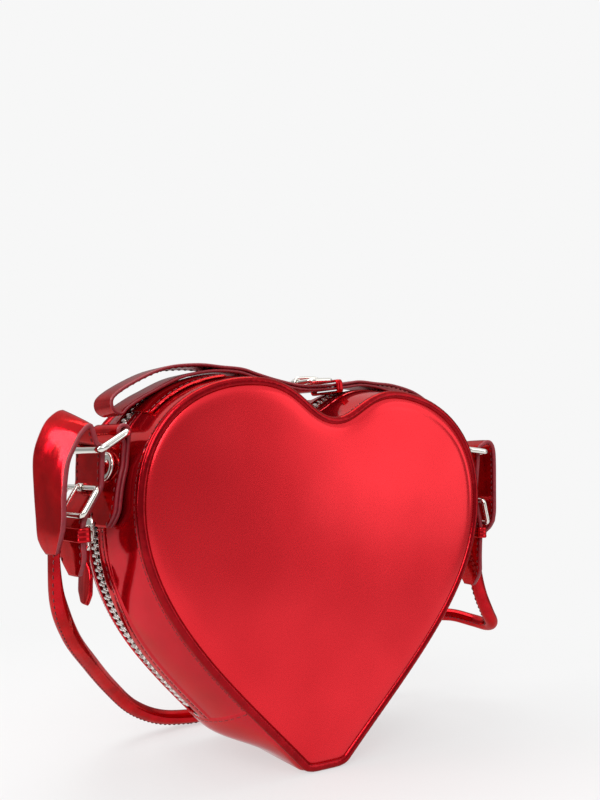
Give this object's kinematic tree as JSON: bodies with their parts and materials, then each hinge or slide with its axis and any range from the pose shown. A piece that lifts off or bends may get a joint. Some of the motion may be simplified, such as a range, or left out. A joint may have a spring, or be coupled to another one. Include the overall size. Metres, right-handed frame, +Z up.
{
  "type": "heart shaped handbag",
  "caption": "Small structured heart-shaped bag in mirror-gloss red leather with a zip round its gusset, side rings, a rolled shoulder strap on buckled belts and a flat top handle",
  "frame": {"origin": "middle of the flat under the heart's tip, on the floor", "axes": "+Z up, -Y out of the front face, +X to the right seen from the front"},
  "size_m": [0.2821, 0.1031, 0.192],
  "materials": {
    "red_leather": "mirror-gloss metallic red leather",
    "dark_leather": "gloss dark red leather with painted edges",
    "lining_cloth": "plain woven cloth",
    "stiffener": "pressed fibre board",
    "zip_tape": "woven tape",
    "silver_metal": "polished silver plating"
  },
  "bodies": {
    "front_half": {"front_panel": "red_leather", "front_piping": "dark_leather", "front_gusset": "red_leather", "front_board": "stiffener", "front_lining": "lining_cloth", "base_gusset": "red_leather", "zip_tape_front": "zip_tape", "zip_teeth_front": "silver_metal", "zip_end_stops": "silver_metal", "side_tab_left": "dark_leather", "side_tab_right": "dark_leather", "tab_stud_left": "silver_metal", "tab_stud_right": "silver_metal", "strap_roll_left": "red_leather", "strap_roll_middle": "red_leather", "strap_roll_right": "red_leather", "top_handle": "dark_leather", "handle_base_left": "red_leather", "handle_base_right": "red_leather", "handle_buckle": "silver_metal", "handle_keeper": "red_leather"},
    "back_half": {"back_panel": "red_leather", "back_piping": "dark_leather", "back_gusset": "red_leather", "back_board": "stiffener", "back_lining": "lining_cloth", "slip_pocket": "lining_cloth", "zip_tape_back": "zip_tape", "zip_teeth_back": "silver_metal"},
    "ring_left": {"ring_left": "silver_metal"},
    "ring_right": {"ring_right": "silver_metal"},
    "strap_end_left": {"strap_belt_left": "dark_leather", "belt_buckle_left": "silver_metal", "belt_keeper_left": "red_leather"},
    "strap_end_right": {"strap_belt_right": "dark_leather", "belt_buckle_right": "silver_metal", "belt_keeper_right": "red_leather"},
    "prong_left": {"belt_prong_left": "silver_metal"},
    "prong_right": {"belt_prong_right": "silver_metal"},
    "handle_prong": {"handle_prong": "silver_metal"},
    "zip_slider": {"zip_slider": "silver_metal"},
    "zip_pull": {"zip_pull_link": "silver_metal", "zip_pull_leather": "dark_leather"}
  },
  "joints": [
    {"name": "bag_opening", "type": "hinge", "parent": "front_half", "child": "back_half", "pos_m": [0, 0.035, 0.0022], "axis": [-1, 0, 0], "range_deg": [0, 35], "deforming": ["base_gusset"]},
    {"name": "ring_swing_left", "type": "hinge", "parent": "front_half", "child": "ring_left", "pos_m": [-0.10369, -0.01561, 0.156], "axis": [-0.1564, 0.9877, 0], "range_deg": [0, 30], "deforming": ["strap_roll_left"]},
    {"name": "ring_swing_right", "type": "hinge", "parent": "front_half", "child": "ring_right", "pos_m": [0.09888, -0.01485, 0.156], "axis": [-0.1564, -0.9877, 0], "range_deg": [0, 30], "deforming": ["strap_roll_right"]},
    {"name": "strap_swing_left", "type": "hinge", "parent": "ring_left", "child": "strap_end_left", "pos_m": [-0.11612, -0.01758, 0.14783], "axis": [-0.1564, 0.9877, 0], "range_deg": [0, 25], "deforming": ["strap_roll_left"]},
    {"name": "strap_swing_right", "type": "hinge", "parent": "ring_right", "child": "strap_end_right", "pos_m": [0.11367, -0.01719, 0.15495], "axis": [-0.1564, -0.9877, 0], "range_deg": [0, 25], "deforming": ["strap_roll_right"]},
    {"name": "prong_hinge_left", "type": "hinge", "parent": "strap_end_left", "child": "prong_left", "pos_m": [-0.11658, -0.01765, 0.13214], "axis": [-0.1564, 0.9877, 0], "range_deg": [0, 10]},
    {"name": "prong_hinge_right", "type": "hinge", "parent": "strap_end_right", "child": "prong_right", "pos_m": [0.11256, -0.01702, 0.12762], "axis": [-0.1564, -0.9877, 0], "range_deg": [0, 8]},
    {"name": "handle_prong_hinge", "type": "hinge", "parent": "front_half", "child": "handle_prong", "pos_m": [0.00192, 0, 0.18749], "axis": [0, -1, 0], "range_deg": [0, 110]},
    {"name": "zip_slide", "type": "slide", "parent": "front_half", "child": "zip_slider", "axis": [-0.0503, 0, 0.9987], "range_m": [-0.014, 0.006]},
    {"name": "zip_pull_hinge", "type": "hinge", "parent": "zip_slider", "child": "zip_pull", "pos_m": [-0.10754, 0, 0.11288], "axis": [0, 1, 0], "range_deg": [0, 75]}
  ]
}
